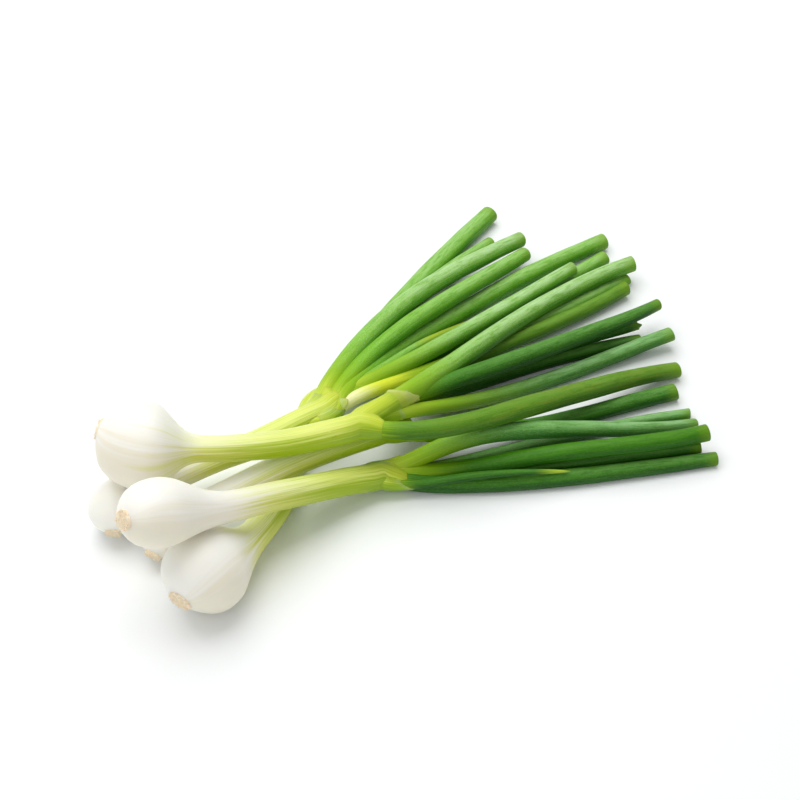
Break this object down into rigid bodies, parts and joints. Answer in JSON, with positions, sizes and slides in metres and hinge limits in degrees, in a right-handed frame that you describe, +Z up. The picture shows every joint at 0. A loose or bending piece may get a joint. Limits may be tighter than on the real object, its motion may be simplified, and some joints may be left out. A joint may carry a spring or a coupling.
{
  "type": "bunch of spring onions",
  "caption": "Loose bunch of white bulb spring onions lying on a surface, with pale shanks, trimmed roots and green tubular leaves cut square and fanned out at one end.",
  "frame": {"origin": "middle of the bunch's footprint, on the surface it lies on", "axes": "+X from the bulbs towards the cut leaves, +Y to the side the leaves fan out to, +Z up from the surface"},
  "size_m": [0.2646, 0.2574, 0.0637],
  "materials": {
    "bulb": "satin, moist skin",
    "roots": "dry and fibrous",
    "leaf": "satin, with a waxy bloom",
    "sheath": "thin and papery"
  },
  "bodies": {
    "root": {"onion_1_bulb": "bulb", "onion_1_leaf_1": "leaf", "onion_1_leaf_2": "leaf", "onion_1_leaf_3": "leaf", "onion_1_leaf_4": "leaf", "onion_1_roots": "roots", "onion_1_sheath": "sheath", "onion_2_bulb": "bulb", "onion_2_leaf_1": "leaf", "onion_2_leaf_2": "leaf", "onion_2_leaf_3": "leaf", "onion_2_leaf_4": "leaf", "onion_2_leaf_5": "leaf", "onion_2_leaf_6": "leaf", "onion_2_roots": "roots", "onion_2_sheath": "sheath", "onion_3_bulb": "bulb", "onion_3_leaf_1": "leaf", "onion_3_leaf_2": "leaf", "onion_3_leaf_3": "leaf", "onion_3_leaf_4": "leaf", "onion_3_leaf_5": "leaf", "onion_3_leaf_6": "leaf", "onion_3_leaf_7": "leaf", "onion_3_roots": "roots", "onion_3_sheath": "sheath", "onion_4_bulb": "bulb", "onion_4_leaf_1": "leaf", "onion_4_leaf_2": "leaf", "onion_4_leaf_3": "leaf", "onion_4_leaf_4": "leaf", "onion_4_roots": "roots", "onion_5_bulb": "bulb", "onion_5_leaf_1": "leaf", "onion_5_leaf_2": "leaf", "onion_5_roots": "roots"}
  },
  "joints": []
}
